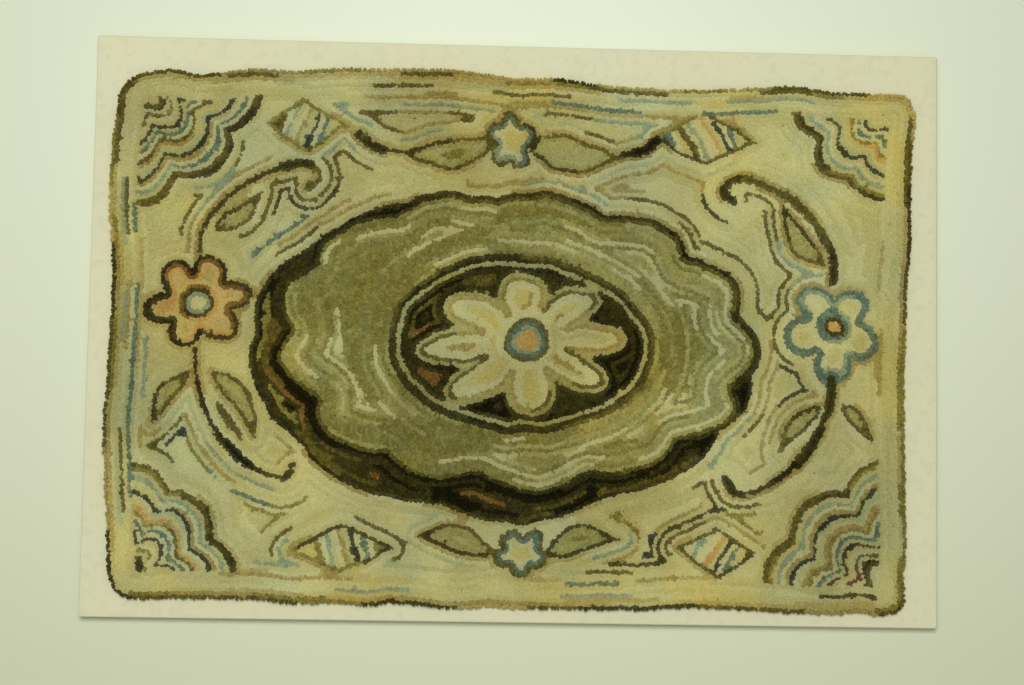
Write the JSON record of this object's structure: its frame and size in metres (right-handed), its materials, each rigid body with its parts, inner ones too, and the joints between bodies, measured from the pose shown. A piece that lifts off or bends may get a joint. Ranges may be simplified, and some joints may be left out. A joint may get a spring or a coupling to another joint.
{
  "type": "hooked rug on a cloth-covered mounting board",
  "caption": "Oblong hand-hooked wool rug with uneven edges and flower motifs, fixed face up on a flat, cloth-covered mounting board.",
  "frame": {"origin": "middle of the mounting board's back face, which is what the part rests on", "axes": "+X along the long side, to the right as the rug is read; +Y towards the rug's top edge; +Z out of the pile"},
  "size_m": [1.065, 0.725, 0.0302],
  "materials": {
    "wool_pile": "hand-hooked loops of mottled oat, taupe grey, dark brown, slate blue and ochre wool strips",
    "board_cloth": "plain-woven cream cotton, stretched tight"
  },
  "bodies": {
    "root": {"rug": "wool_pile", "mounting_board": "board_cloth"}
  },
  "joints": []
}
